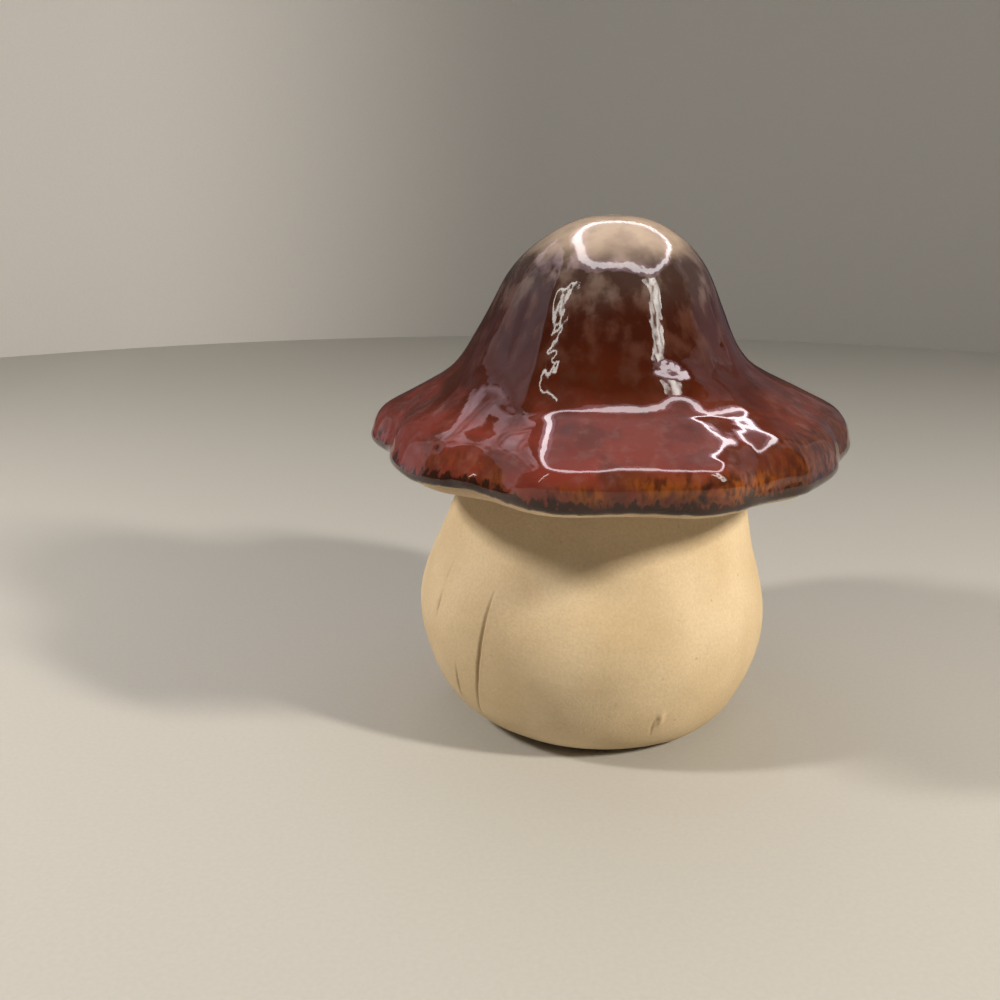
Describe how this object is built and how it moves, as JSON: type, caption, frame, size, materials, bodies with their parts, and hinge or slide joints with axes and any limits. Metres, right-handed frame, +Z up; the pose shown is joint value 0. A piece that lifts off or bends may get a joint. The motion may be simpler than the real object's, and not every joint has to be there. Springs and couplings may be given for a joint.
{
  "type": "ceramic mushroom ornament",
  "caption": "Free-standing ceramic mushroom: a hollow unglazed bulb stem and a lobed, glazed bell cap with an inner collar that lifts off the stem's neck.",
  "frame": {"origin": "centre of the foot ring, on the surface that the ornament stands on", "axes": "+Z up, -Y towards the front that the picture shows, +X to the right seen from the front"},
  "size_m": [0.1204, 0.1216, 0.1255],
  "materials": {
    "biscuit_clay": "matte",
    "cap_clay": "matte",
    "reactive_glaze": "gloss"
  },
  "bodies": {
    "stem": {"stem": "biscuit_clay"},
    "cap": {"cap_shell": "cap_clay", "cap_collar": "cap_clay", "glaze_coat": "reactive_glaze"}
  },
  "joints": [
    {"name": "cap_lift", "type": "slide", "parent": "stem", "child": "cap", "axis": [0, 0, 1], "range_m": [0, 0.04]}
  ]
}
